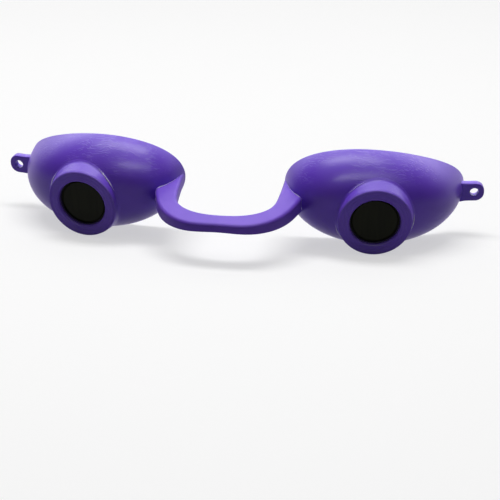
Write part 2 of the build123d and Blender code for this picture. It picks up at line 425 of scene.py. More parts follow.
# %% Root of the barrel
RING_RADIUS, RING_ROUND, FLARE = 8.8, 0.4, 0.18
BARREL_COLUMNS = 216
angle = np.linspace(0, 2 * math.pi, BARREL_COLUMNS, endpoint=False)
ahead, aloft = np.cos(angle), np.sin(angle)


def ring_rows(profile):
    """Rows of a profile of (radius, depth) pairs turned about the barrel's axis."""
    radius, depth = np.array(profile, float).T[:, :, None]
    return from_eye(radius * ahead, radius * aloft, -depth + 0 * ahead)


def side_radius(depth):
    """Radius of the flared side a depth behind the ring's face."""
    return RING_RADIUS + FLARE * depth


def root_depths():
    """Depth at which each column of the flared side meets the dome."""
    def outside(depth):
        radius = side_radius(depth)
        return dome_share(radius * ahead, radius * aloft, -depth) > 1

    return halved(outside, np.zeros_like(ahead), np.full_like(ahead, LEVEL_DEPTH))


def on_dome(radius, lift):
    """Points on the dome at a radius from the barrel's axis, lifted by a height."""
    u, v = radius * ahead, radius * aloft
    return from_eye(u, v, dome_height(u, v) + lift)


root_depth = root_depths()
root_radius = side_radius(root_depth)
print(f"barrel root between {root_depth.min():.2f} and {root_depth.max():.2f} mm behind its face")

# %% Turned profiles of the barrel
WINDOW_RADIUS, WINDOW_BREAK = 6.1, 0.25
FACE_DIP, FACE_DIP_WIDTH = 0.03, 0.08
LATHE_STEPS, LATHE_HALF = ((6.95, 0.02), (7.8, 0.025)), 0.05
FACE_END = (8.15, 8.25)
EDGE_END = 8
SEAT_RADIUS, BEAD_RADIUS, SLEEVE_LENGTH = 6.85, 6.55, 3.0
SLEEVE_CUT, SLEEVE_CUT_MIDDLE = 0.1, 0.03
BEAD_CUT, BEAD_CUT_MIDDLE = 0.15, 0.04
SEAT_CUT = 0.05


def arc(radius, depth, start, end, size, steps=6):
    """Round corner about a centre: (radius + size cos t, depth - size sin t), t in degrees."""
    turn = np.radians(np.linspace(start, end, steps))
    return [(radius + size * math.cos(t), depth - size * math.sin(t)) for t in turn]


def face_profile():
    """Radius and depth over the ring's flat face, from the window's edge outwards."""
    window_edge = WINDOW_RADIUS + WINDOW_BREAK
    face = [(window_edge, FACE_DIP), (window_edge + FACE_DIP_WIDTH, 0.0)]
    for radius, depth in LATHE_STEPS:
        face += [(radius - LATHE_HALF, 0.0), (radius, depth), (radius + LATHE_HALF, 0.0)]
    return face + [(radius, 0.0) for radius in FACE_END]


def bore_profile():
    """Radius and depth from the sleeve's back over the bead and the seat to the window."""
    return [
        (SLEEVE_RADIUS, SLEEVE_LENGTH - SLEEVE_CUT),
        (SLEEVE_RADIUS - SLEEVE_CUT_MIDDLE, SLEEVE_LENGTH - SLEEVE_CUT_MIDDLE),
        (SLEEVE_RADIUS - SLEEVE_CUT, SLEEVE_LENGTH),
        (BEAD_RADIUS + BEAD_CUT, SLEEVE_LENGTH),
        (BEAD_RADIUS + BEAD_CUT_MIDDLE, SLEEVE_LENGTH - BEAD_CUT_MIDDLE),
        (BEAD_RADIUS, SLEEVE_LENGTH - BEAD_CUT),
        (BEAD_RADIUS, LENS_BACK + SLEEVE_CUT),
        (BEAD_RADIUS + SEAT_CUT, LENS_BACK + SLEEVE_CUT_MIDDLE),
        (SEAT_RADIUS - SEAT_CUT, LENS_BACK), (SEAT_RADIUS, LENS_BACK - SEAT_CUT),
        (SEAT_RADIUS, WINDOW_DEPTH + SEAT_CUT), (SEAT_RADIUS - SEAT_CUT, WINDOW_DEPTH),
        (WINDOW_RADIUS + SEAT_CUT, WINDOW_DEPTH), (WINDOW_RADIUS, WINDOW_DEPTH - SEAT_CUT),
    ]


print("barrel profiles:", len(face_profile()), "points on the face,", len(bore_profile()), "inside")

# %% Barrels
ROOT_HOLLOW, HOLLOW_LIFT = 0.45, 0.02
SUNK, SUNK_OUT, SUNK_IN = 0.45, 0.3, 0.2
SIDE_ROWS, SIDE_START = 22, 0.06
# Painted edge highlight: how much paler the window's edge and the ring's outer edge are, and how
# much rougher, as worn edges are.
WINDOW_WEAR_HIGHLIGHT = 0.5
EDGE_WEAR_HIGHLIGHT = (0.5, 2.6)


def side_and_root():
    """Rows down the flared side, over the hollow at its root, and hidden inside the dome."""
    share = np.linspace(SIDE_START, 1, SIDE_ROWS)[:, None]
    depth = RING_ROUND + (root_depth - ROOT_HOLLOW - RING_ROUND) * share
    radius = side_radius(depth)
    side = from_eye(radius * ahead, radius * aloft, -depth)
    foot = on_dome(root_radius + ROOT_HOLLOW, 0.0)
    hollow = corner_rows(side[-1], on_dome(root_radius, HOLLOW_LIFT), foot)
    sunk = on_dome(root_radius + ROOT_HOLLOW + SUNK_OUT, -SUNK)[None]
    under = on_dome(np.full_like(ahead, SLEEVE_RADIUS + SUNK_IN), -SUNK)[None]
    return np.concatenate([side, hollow[1:], sunk, under])


def barrel_grid():
    """Closed rows of the barrel, and two traits for its finish.

    turned is the radius of each row of the ring's face, and the other trait is how much a row is
    painted paler, a painted edge highlight, and made rougher, as a worn edge is: the window's edge
    evenly, and the outer edge by a sine that rises and falls across it.
    """
    face = face_profile()
    edge = arc(RING_RADIUS - RING_ROUND, RING_ROUND, 90, EDGE_END, RING_ROUND)
    front = [(WINDOW_RADIUS, WINDOW_BREAK)] + face + edge
    rows = np.concatenate([ring_rows(front), side_and_root(), ring_rows(bore_profile())])
    turned, worn_edge_highlight = np.zeros(len(rows)), np.zeros(len(rows))
    turned[: len(front)] = [radius for radius, _ in front]
    # The window's edge and the outer edge are painted paler, a painted highlight, and made rougher
    # as worn edges are.
    worn_edge_highlight[:2] = WINDOW_WEAR_HIGHLIGHT
    worn_edge_highlight[len(face) + 1 : len(front)] = np.sin(np.linspace(*EDGE_WEAR_HIGHLIGHT, len(edge)))
    return rows, {"turned": turned[:, None], "worn_edge_highlight": worn_edge_highlight[:, None]}


barrel_rows, barrel_traits = barrel_grid()
barrels = {
    side: skin(side + "_barrel_skin", barrel_rows * flip, along=True, traits=barrel_traits)
    for side, flip in SIDES.items()
}
print("barrel grid", barrel_rows.shape)

# %% [markdown]
# ## Lenses
#
# The lens is a disc of nearly black plastic behind the window. The real one shows a thin lip
# just inside the window's lower edge and a black gap beside it, so the disc is turned from a
# profile: a lip that the window holds, a groove, and the clear face that lies a little deeper.
# A dark ring painted on a flat disc would be simpler, but it would not hide behind the window's
# upper edge as this groove does when the goggles are seen from above.

# %% Lenses
LENS_RADIUS, LENS_BREAK, LENS_FACE = 6.8, 0.15, 1.1
GROOVE_INNER, GROOVE_OUTER, GROOVE_DEPTH, GROOVE_BREAK = 5.46, 5.88, 1.6, 0.05
LIP_BREAK = 0.04
LENS_RINGS = (0.02, 2.0, 4.0)
FACE_RINGS = (*LENS_RINGS, 5.2, GROOVE_INNER - GROOVE_BREAK)


def lens_profile():
    """Radius and depth of the disc from the middle of its front to the middle of its back.

    The second result is 1 on the rows of the lip, which is painted paler as a lit ledge, a
    painted highlight, and 0 elsewhere.
    """
    face = [(radius, LENS_FACE) for radius in FACE_RINGS]
    groove = [
        (GROOVE_INNER, LENS_FACE + GROOVE_BREAK), (GROOVE_INNER, GROOVE_DEPTH - GROOVE_BREAK),
        (GROOVE_INNER + GROOVE_BREAK, GROOVE_DEPTH), (GROOVE_OUTER - GROOVE_BREAK, GROOVE_DEPTH),
        (GROOVE_OUTER, GROOVE_DEPTH - GROOVE_BREAK), (GROOVE_OUTER, WINDOW_DEPTH + LIP_BREAK),
    ]
    lip = [(GROOVE_OUTER + LIP_BREAK, WINDOW_DEPTH), (LENS_RADIUS - LENS_BREAK, WINDOW_DEPTH)]
    edge = [
        (LENS_RADIUS, WINDOW_DEPTH + LENS_BREAK), (LENS_RADIUS, LENS_BACK - LENS_BREAK),
        (LENS_RADIUS - LENS_BREAK, LENS_BACK),
    ]
    back = [(radius, LENS_BACK) for radius in LENS_RINGS[::-1]]
    profile = face + groove + lip + edge + back
    lipped = np.zeros(len(profile))
    lipped[len(face + groove) - 1 : len(face + groove + lip)] = 1
    return profile, {"lip": lipped[:, None]}


lens_outline, lens_traits = lens_profile()
lens_rows = ring_rows(lens_outline)
lenses = {
    side: skin(side + "_lens_skin", lens_rows * flip, traits=lens_traits)
    for side, flip in SIDES.items()
}
print(f"lens groove {GROOVE_OUTER - GROOVE_INNER:.2f} mm wide")

# %% [markdown]
# ## Strap lugs
#
# The lug is a flat tongue with a round hole for an elastic strap. It could be a box with a hole
# cut through it, but in rings from the hole to its outline it is a grid as well, and needs no
# cutting. The outline is a rounded rectangle, found along each ray from the hole, and the rays
# that run inwards stop in the middle of the cup's wall.

# %% Outline of a lug
LUG_OUT, LUG_DEPTH, LUG_DROP = 2.9, 18.7, 2.2
LUG_HEIGHT, LUG_TIP, LUG_CORNER = 4.85, 2.45, 2.2
LUG_FLARE, FLARE_FROM, FLARE_LENGTH = 0.2, 1.6, 1.6
hole_u = -CROWN_IN + reaches(LUG_DEPTH - CROWN_DEPTH, 0.0)[0] * math.cos(ROLL) + LUG_OUT
hole_v = -LUG_DROP


def lug_reach(turn, w, cut_back):
    """Distance from the hole to the tongue's outline along a ray, cut back by an edge.

    A point is within while its overhang past the rectangle's straight sides is less than the
    corner's radius, and it hasn't reached the middle of the cup's wall. Towards the cup the
    rectangle grows a little taller.
    """
    length = LUG_TIP + 2 * LUG_OUT
    middle = LUG_TIP - length / 2

    def within(distance):
        x, y = distance * np.cos(turn), distance * np.sin(turn)
        root = np.clip((-x - FLARE_FROM) / FLARE_LENGTH, 0, 1) ** 2 * LUG_FLARE
        over_x = np.maximum(np.abs(x - middle) - length / 2 + LUG_CORNER, 0)
        over_y = np.maximum(np.abs(y) - LUG_HEIGHT / 2 - root + LUG_CORNER, 0)
        outline = np.hypot(over_x, over_y) < LUG_CORNER - cut_back
        return outline & (dome_share(hole_u + x, hole_v + y, w, CUP_WALL / 2) > 1)

    return halved(within, np.zeros_like(turn), np.full_like(turn, length))


print(f"strap hole {hole_u:.2f} mm out from the barrel's axis")

# %% Strap lugs
STRAP_RADIUS, LUG_THICKNESS = 1.1, 1.8
HOLE_EDGE = ((0.0, 0.2), (0.03, 0.08), (0.08, 0.03), (0.2, 0.0))
LUG_EDGE = ((0.3, 0.0), (0.12, 0.05), (0.05, 0.12), (0.0, 0.3))
FACE_SHARES = (0.06, 0.35, 0.65, 0.94)
LUG_COLUMNS = 160


def lug_grid():
    """Closed rows from the hole's wall over the front face, the edge and the back face.

    Each rounded edge is a list of pairs: how far from the wall a row is, and how far down.
    """
    turn = np.linspace(0, 2 * math.pi, LUG_COLUMNS, endpoint=False)
    half = LUG_THICKNESS / 2
    front = [(STRAP_RADIUS + out + 0 * turn, half - down) for out, down in HOLE_EDGE]
    outline = [
        (lug_reach(turn, half - down - LUG_DEPTH, back), half - down) for back, down in LUG_EDGE
    ]
    inner, outer = front[-1][0], outline[0][0]
    front += [(inner + (outer - inner) * share, half) for share in FACE_SHARES]
    front += outline
    rows = front + [(distance, -lift) for distance, lift in front[::-1]]
    return np.stack(
        [
            from_eye(
                hole_u + distance * np.cos(turn),
                hole_v + distance * np.sin(turn),
                -LUG_DEPTH + lift + 0 * turn,
            )
            for distance, lift in rows
        ]
    )


lug_rows = lug_grid()
lugs = {
    side: skin(side + "_lug_skin", lug_rows * flip, along=True) for side, flip in SIDES.items()
}
print(f"lug grid {lug_rows.shape}, its hole {2 * STRAP_RADIUS} mm across")

# %% [markdown]
# ## Nose bridge
#
# The bridge is one springy band with a flat top: a thin bar over the nose that turns back and
# grows taller and wider towards the cups. A curve with a bevel would have the same section all
# along, and this one changes. So its front and back edges, seen from above, are two smooth
# splines through listed points, and a rectangle with rounded edges is carried between
# them. The real band bends at its two corners. Each half is its own skin, and the halves meet in
# the middle, where nothing moves.

# %% Bridge outlines
FRONT_PLACES = ((0, -12.4), (7.362, -12.028), (12.569, -8.866), (16.43, -2.356), (17.956, 2.851))
BACK_PLACES = ((0, -7.5), (6.796, -6.337), (11.12, -2.513), (12.171, 2.462), (12.48, 11.405))
EDGE_STEP = 0.002


def smooth_line(places, end_way):
    """Cubic spline through places as a function of a share from 0 to 1 of its spans.

    Slopes m solve h1 m0 + 2 (h0 + h1) m1 + h0 m2 = 3 (h1 d0 + h0 d1), with h the spans' lengths
    and d their slopes. Each span is then a Hermite cubic.
    """
    places = np.array(places, float)
    span = np.linalg.norm(np.diff(places, axis=0), axis=1)
    slope = np.diff(places, axis=0) / span[:, None]
    count = len(places)
    matrix, target = np.eye(count), np.zeros((count, 2))
    inside = np.arange(1, count - 1)
    matrix[inside, inside - 1] = span[1:]
    matrix[inside, inside] = 2 * (span[:-1] + span[1:])
    matrix[inside, inside + 1] = span[:-1]
    target[inside] = 3 * (span[1:, None] * slope[:-1] + span[:-1, None] * slope[1:])
    target[0] = (1, 0)
    target[-1] = np.array(end_way) / np.linalg.norm(end_way)
    slopes = np.linalg.solve(matrix, target)

    def line(share):
        place = np.clip(share, 0, 1) * (count - 1)
        k = np.minimum(place.astype(int), count - 2)
        t = (place - k)[..., None]
        h = span[k][..., None]
        from_start = (2 * t**3 - 3 * t**2 + 1) * places[k] + (t**3 - 2 * t**2 + t) * h * slopes[k]
        to_end = (3 * t**2 - 2 * t**3) * places[k + 1] + (t**3 - t**2) * h * slopes[k + 1]
        return from_start + to_end

    return line


front_line = smooth_line(FRONT_PLACES, np.subtract(FRONT_PLACES[-1], FRONT_PLACES[-2]))
back_line = smooth_line(BACK_PLACES, (0, 1))


def edge_with_normal(line, share, side):
    """Points of an edge, and its unit normal into the band, by a small step along it."""
    middle = np.clip(share, EDGE_STEP, 1 - EDGE_STEP)
    before, after = line(middle - EDGE_STEP), line(middle + EDGE_STEP)
    way = normalised(after - before)
    normal = side * np.stack([-way[..., 1], way[..., 0]], axis=-1)
    return line(share), normal


print(f"bridge {2 * back_line(np.array(1.0))[0]:.1f} mm wide between its arms' roots")

# %% [markdown]
# ## Section of the bridge
#
# The section's outline is a list of ring points. Each says how far it is across the band, how
# far in from its edge, and how far below the top or above the underside, so the underside can
# drop towards the arms while every edge keeps its own rounding. Scaling one section along the
# band would be shorter to write, but it would stretch the roundings with it.

# %% Bridge section
BRIDGE_TOP, BAR_HEIGHT, ARCH_RADIUS = 4.2, 2.3, 101.555
TOP_ROUND, LOW_ROUND = 0.85, 0.35
HEART = np.array([19.761, 10.369])
WALL_SHARES = np.array([0.35, 0.7])
ROUND_POINTS, FLAT_POINTS = 8, 9


def band_ring():
    """Ring of the section: share across, inset from the edge, drop, and share of underside."""
    t = np.radians(np.linspace(0, 90, ROUND_POINTS))
    across = np.linspace(0, 1, FLAT_POINTS)[1:-1]
    zero, full, wall = np.zeros_like(t), np.ones_like(t), np.zeros_like(WALL_SHARES)
    inward, downward = 1 - np.cos(t), 1 - np.sin(t)
    parts = [
        (zero, TOP_ROUND * inward, TOP_ROUND * downward, zero),
        (across, np.full_like(across, TOP_ROUND), 0 * across, 0 * across),
        (full, TOP_ROUND * inward[::-1], TOP_ROUND * downward[::-1], zero),
        (wall + 1, wall, wall, WALL_SHARES),
        (full, LOW_ROUND * inward, LOW_ROUND * downward, full),
        (across[::-1], np.full_like(across, LOW_ROUND), 0 * across, 0 * across + 1),
        (zero, LOW_ROUND * inward[::-1], LOW_ROUND * downward[::-1], full),
        (wall, wall, wall, WALL_SHARES[::-1]),
    ]
    return [np.concatenate(column) for column in zip(*parts)]


def band_points(share, across, inset, drop, under):
    """Worn points of the band: an edge plus its normal times the inset, and a height.

    The underside arches: bar height + radius - sqrt(radius^2 - x^2) below the top. Past a share
    of 1 the section moves on towards HEART, a place inside the cup.
    """
    front, front_normal = edge_with_normal(front_line, share, 1)
    back, back_normal = edge_with_normal(back_line, share, -1)
    front = front + front_normal * inset[..., None]
    back = back + back_normal * inset[..., None]
    past = np.maximum(share - 1, 0)[..., None]
    front = front + past * (HEART - FRONT_PLACES[-1])
    back = back + past * (HEART - BACK_PLACES[-1])
    plan = front + (back - front) * across[..., None]
    height = BAR_HEIGHT + ARCH_RADIUS - np.sqrt(ARCH_RADIUS**2 - plan[..., 0] ** 2)
    high = BRIDGE_TOP - np.where(under > 0, TOP_ROUND, drop)
    low = BRIDGE_TOP - height + np.where(under < 1, LOW_ROUND, drop)
    z = np.where(under == 0, high, np.where(under == 1, low, high + (low - high) * under))
    return np.concatenate([plan, z[..., None]], axis=-1)


BAND_RING = band_ring()
print("bridge section:", len(BAND_RING[0]), "points")

# %% [markdown]
# ## Root and skin of the bridge
#
# Each line of the band runs on until it is nearly in the middle of the cup's wall, and a cap
# that shrinks along the dome closes it there. So nothing of the arm shows inside the cup, and
# the crease outside is sharp, as in the photograph, where a merge of the two meshes would blur
# it.

# %% Bridge skin
ROOT_FROM, ROOT_PAST = 0.6, 2.0
BRIDGE_ROWS, BRIDGE_SINK = 150, CUP_WALL * 0.45
CAP_SHARES = np.array([0.8, 0.6, 0.4, 0.2, 0.03])[:, None, None]


def band_end(ring, inset, low, high):
    """Share at which each line of the band, given by its ring, reaches an inset of the dome."""
    def outside(share):
        return dome_share(*to_eye(band_points(share, *ring)), inset) > 1

    return halved(outside, np.full_like(ring[0], low), np.full_like(ring[0], high))


def onto_dome(points, inset):
    """Points moved level, straight towards or away from the dome's axis, onto its surface."""
    u, v, w = to_eye(points)
    pull = 1 / np.sqrt(dome_share(u, v, w, inset))
    return from_eye((u + CROWN_IN) * pull - CROWN_IN, (v - CROWN_UP) * pull + CROWN_UP, w)


band_stop = band_end(BAND_RING, BRIDGE_SINK, ROOT_FROM, ROOT_PAST)
band_share = np.linspace(0, 1, BRIDGE_ROWS)[:, None] * band_stop
bridge_rows = band_points(
    band_share, *(np.broadcast_to(part, band_share.shape) for part in BAND_RING)
)
root = bridge_rows[-1]
root_middle = root.mean(axis=0)
bridge_cap = onto_dome(root_middle + (root - root_middle) * CAP_SHARES, BRIDGE_SINK)
bridge_rows = np.concatenate([bridge_rows, bridge_cap])
bridges = {side: skin(side + "_bridge_skin", bridge_rows * flip) for side, flip in SIDES.items()}


def sharpen_first_row(piece, columns):
    """Marks the ring of edges round the first row as sharp, so that its flat end shades flat."""
    mesh = piece.data
    ends = np.empty(2 * len(mesh.edges), int)
    mesh.edges.foreach_get("vertices", ends)
    sharp = (ends.reshape(-1, 2) < columns).all(axis=1)
    layer = mesh.attributes.new("sharp_edge", "BOOLEAN", "EDGE")
    layer.data.foreach_set("value", sharp)


for bridge in bridges.values():
    sharpen_first_row(bridge, bridge_rows.shape[1])
print(f"bridge lines sink into the cups at shares {band_stop.min():.3f} to {band_stop.max():.3f}")

# %% [markdown]
# ## Flash lines
#
# Where the barrels and the bridge join the cups, a hair-thin pale line of flash stands up. A
# pale stripe could be painted there, but the real one is a ridge that catches the light. So it
# is a fine tube along the very curve where the two surfaces meet, it swells where the
# photograph shows it, and it thins out where the photograph shows none.

# %% Flash along the barrels
FLASH_SIDES = 8
BARREL_THIN, FLASH_OUT, FLASH_LIFT, FLASH_SINK = 0.014, 0.22, 1.2, 0.01


def hump(place, centre, width):
    """A smooth rise to 1 at a centre: exp(-((place - centre) / width)^2)."""
    return np.exp(-(((place - centre) / width) ** 2))


def tube(path, radius, first, second):
    """Rows of a fine tube round a path: place + r (cos t A + sin t B), A and B across it."""
    t = np.linspace(0, 2 * math.pi, FLASH_SIDES, endpoint=False)[None, :, None]
    spread = np.cos(t) * first[:, None] + np.sin(t) * second[:, None]
    return path[:, None] + radius[:, None, None] * spread


def barrel_flash(spots):
    """Closed tube round a barrel's root, thicker at spots of (angle, width, size) in degrees."""
    radius = np.full_like(angle, BARREL_THIN)
    for centre, width, size in spots:
        apart = (np.degrees(angle) - centre + 180) % 360 - 180
        radius = radius + size * hump(apart, 0, width)
    path = on_dome(root_radius + FLASH_OUT, FLASH_LIFT * radius - FLASH_SINK)
    outward = normalised(path - from_eye(0 * ahead, 0 * ahead, -root_depth))
    forward = from_eye(0.0, 0.0, 1.0) - from_eye(0.0, 0.0, 0.0)
    return tube(path, radius, outward, np.broadcast_to(forward, path.shape))


FLASH_SPOTS = {
    "left": ((120, 12, 0.02), (203, 9, 0.13), (350, 10, 0.10)),
    "right": ((134, 12, 0.13), (24, 10, 0.13)),
}
print("spots of flash:", {side: len(spots) for side, spots in FLASH_SPOTS.items()})

# %% Flash along the bridge
CREASE_FROM, CREASE_PAST = 0.5, 1.6
WALL_FOOT, WALL_HEAD, WALL_STEPS = 0.96, 0.05, 14
TOP_END, TOP_STEPS = 0.97, 26
BRIDGE_THIN, FLASH_MARGIN, FLASH_TAPER = 0.015, 0.01, 0.25
BRIDGE_SPOTS = ((0.06, 0.04, 0.22), (0.53, 0.10, 0.11), (0.80, 0.12, 0.04))
CREASE_SIDE = (0.3, 0.2, 1.0)


def crease_ring():
    """Ring points of the band where the crease runs: up the arm's front, then over its top."""
    up = np.linspace(WALL_FOOT, WALL_HEAD, WALL_STEPS)
    round_up = np.radians(np.linspace(0, 90, ROUND_POINTS))
    over = np.linspace(0, TOP_END, TOP_STEPS)[1:]
    inset = TOP_ROUND * (1 - np.cos(round_up))
    drop = TOP_ROUND * (1 - np.sin(round_up))
    return (
        np.concatenate([0 * up, 0 * round_up, over]),
        np.concatenate([0 * up, inset, 0 * over + TOP_ROUND]),
        np.concatenate([0 * up, drop, 0 * over]),
        np.concatenate([up, 0 * round_up, 0 * over]),
    )


def bridge_flash():
    """Tube along the crease between arm and cup, thicker at spots of (place, width, size).

    Its two axes stand across the crease. CREASE_SIDE only has to differ from the crease's way.
    """
    ring = crease_ring()
    path = band_points(band_end(ring, 0.0, CREASE_FROM, CREASE_PAST), *ring)
    place = np.linspace(0, 1, len(path))
    radius = np.full_like(place, BRIDGE_THIN)
    for centre, width, size in BRIDGE_SPOTS:
        radius = radius + size * hump(place, centre, width)
    taper = np.sin(math.pi * (place * (1 - 2 * FLASH_MARGIN) + FLASH_MARGIN)) ** FLASH_TAPER
    way = np.gradient(path, axis=0)
    across = normalised(np.cross(way, CREASE_SIDE))
    return tube(path, radius * taper, across, normalised(np.cross(across, way)))


flashes = {
    side: [
        skin(side + "_barrel_flash", barrel_flash(FLASH_SPOTS[side]) * flip, along=True),
        skin(side + "_bridge_flash", bridge_flash() * flip),
    ]
    for side, flip in SIDES.items()
}
print("flash lines:", sum(len(lines) for lines in flashes.values()))

# %% [markdown]
# ## Helpers for finishes
#
# A finish is a small graph of shader nodes. It could be clicked together in the shader editor,
# but a few helpers let each finish be read as a list of what the plastic has. Every pattern is
# read on Object coordinates or from a skin's own values, so it stays in place on the goggles
# when they move.

# %% Shader helpers
def new_material(name):
    """Material with an empty Principled shader, and that shader."""
    material = bpy.data.materials.new(name)
    material.use_nodes = True
    return material, material.node_tree.nodes["Principled BSDF"]


def add_node(material, kind, inputs=None, **settings):
    """Adds a node: settings are its own, and inputs take values or other nodes' outputs."""
    made = material.node_tree.nodes.new(kind)
    for key, value in settings.items():
        setattr(made, key, value)
    for key, value in (inputs or {}).items():
        if isinstance(value, bpy.types.NodeSocket):
            material.node_tree.links.new(value, made.inputs[key])
        else:
            made.inputs[key].default_value = value
    return made


def link(material, source, target):
    """Feeds one socket from another."""
    material.node_tree.links.new(source, target)


# %% Patterns and mixes
def ramp(material, factor, low, high):
    """0 below low, 1 above high and smooth between, as a Map Range output."""
    inputs = {"Value": factor, "From Min": low, "From Max": high}
    made = add_node(material, "ShaderNodeMapRange", inputs, interpolation_type="SMOOTHSTEP")
    return made.outputs["Result"]


def between(material, factor, low, high):
    """low where a factor is 0 and high where it is 1, as a Map Range output."""
    inputs = {"Value": factor, "To Min": low, "To Max": high}
    return add_node(material, "ShaderNodeMapRange", inputs).outputs["Result"]


def times(material, a, b):
    """Product of two values."""
    return add_node(material, "ShaderNodeMath", {0: a, 1: b}, operation="MULTIPLY").outputs[0]


def noise(material, place, scale, detail=2.0, stretch=None):
    """Noise value at a place, its scale in cycles per metre, stretched by a Mapping if given."""
    if stretch:
        inputs = {"Vector": place, "Scale": stretch[0], "Rotation": stretch[1]}
        place = add_node(material, "ShaderNodeMapping", inputs).outputs["Vector"]
    inputs = {"Vector": place, "Scale": scale, "Detail": detail}
    return add_node(material, "ShaderNodeTexNoise", inputs).outputs["Fac"]


def mixed(material, factor, first, second):
    """Colour mixed from two by a factor."""
    made = add_node(material, "ShaderNodeMix", {"Factor": factor}, data_type="RGBA")
    for socket, value in zip((made.inputs[6], made.inputs[7]), (first, second)):
        if isinstance(value, bpy.types.NodeSocket):
            link(material, value, socket)
        else:
            socket.default_value = (*value, 1.0)
    return made.outputs[2]


# %% Places, traits and bumps
def object_place(material):
    """Place on the piece itself, in metres, as it lies at rest."""
    return add_node(material, "ShaderNodeTexCoord").outputs["Object"]


def trait(material, name):
    """Value that the points of a skin carry under a name, and 0 on skins without it."""
    return add_node(material, "ShaderNodeAttribute", attribute_name=name).outputs["Fac"]


def bumps(material, *layers):
    """Normal after layers of (height, strength, distance in metres), each over the last."""
    normal = {}
    for height, strength, distance in layers:
        inputs = {"Height": height, "Strength": strength, "Distance": distance, **normal}
        normal = {"Normal": add_node(material, "ShaderNodeBump", inputs).outputs["Normal"]}
    return normal["Normal"]


def set_values(shader, values):
    """Sets constant sockets of a shader by name."""
    for socket, value in values.items():
        shader.inputs[socket].default_value = value


# %% [markdown]
# ## Drag marks and their painted highlight
#
# The real goggles look as if they were dragged over something here and there, with faint pale
# strokes on the crowns of the domes. Their paleness is painted in, a painted highlight where the
# light from above catches them, over a faint bump. Strokes could be drawn one by one, but there
# are hundreds of them. So they are the crests of a noise that is stretched along the dome and
# bent by a second noise, and they show only in patches and only high up.

# %% Drag marks, painted paler as highlights
MARKS_FROM, MARKS_FULL = 0.0145, 0.0185
WAVE_SCALE, WAVE_SIZE = 300.0, 0.0024
STROKE_SCALE, STROKE_STRETCH, STROKE_TURN = 3100.0, (0.11, 0.50, 1.0), (0.0, 0.3, 0.25)
STROKE_CRESTS = (0.50, 0.66)
PATCH_SCALE, PATCH_CRESTS = 110.0, (0.40, 0.64)


def drag_marks_and_highlight(material, place):
    """Strokes times patches times height, with the strokes read at place + size * wave."""
    inputs = {"Vector": place, "Scale": WAVE_SCALE, "Detail": 2.0}
    wave = add_node(material, "ShaderNodeTexNoise", inputs).outputs["Color"]
    inputs = {0: wave, 1: (WAVE_SIZE, WAVE_SIZE, WAVE_SIZE), 2: place}
    warped = add_node(material, "ShaderNodeVectorMath", inputs, operation="MULTIPLY_ADD").outputs[0]
    strokes = noise(material, warped, STROKE_SCALE, 1.0, (STROKE_STRETCH, STROKE_TURN))
    patches = ramp(material, noise(material, place, PATCH_SCALE), *PATCH_CRESTS)
    height = add_node(material, "ShaderNodeSeparateXYZ", {"Vector": place}).outputs["Z"]
    where = times(material, patches, ramp(material, height, MARKS_FROM, MARKS_FULL))
    return times(material, ramp(material, strokes, *STROKE_CRESTS), where)


print(f"drag marks from {MARKS_FROM / MM:.1f} mm up, in full from {MARKS_FULL / MM:.1f} mm up")

# %% [markdown]
# ## Violet plastic
#
# The plastic is a soft, slightly waxy violet with a satin skin. It is a little cloudy and has a
# very fine grain. The strokes high on its crowns and the edges of its barrels are painted paler,
# a painted highlight, and those edges are rougher too, as worn edges are. One even colour would
# look like paint, so two close violets are mixed in clouds, and a little sheen and scatter give
# the wax. In the photograph the bridge looks duller than the cups, so it has a second, rougher
# finish from the same recipe, and its violets are a little less blue, which is painted shade.

# %% Violet plastic
CUP_VIOLETS = ((0.152, 0.059, 0.640), (0.182, 0.075, 0.700))
# Painted shade: the bridge is the same plastic as the cups, with its violets a little less blue.
BRIDGE_SHADED_VIOLETS = ((0.152, 0.062, 0.580), (0.182, 0.078, 0.630))
VIOLET_PALE = (0.48, 0.38, 0.90)
CLOUD_SCALE, CLOUD_EDGES = 70.0, (0.35, 0.65)
MARKS_HIGHLIGHT_PALE, EDGE_HIGHLIGHT_PALE, RUBBED_ROUGH = 0.12, 0.20, 0.5
LATHE_WAVE = 21.0
GRAIN_SCALE = 2600.0
SMEAR_SCALE, SMEAR_ROUGH = 240.0, 0.05
GRAIN_BUMP, MARKS_BUMP, LATHE_BUMP = (0.12, 0.00008), (0.4, 0.00006), (0.2, 0.00004)
WAXY = {
    "Sheen Weight": 0.19, "Sheen Roughness": 0.4, "Sheen Tint": (0.45, 0.28, 1.0, 1.0),
    "Subsurface Weight": 0.08, "Subsurface Radius": (0.6, 0.3, 1.0), "Subsurface Scale": 0.0012,
}


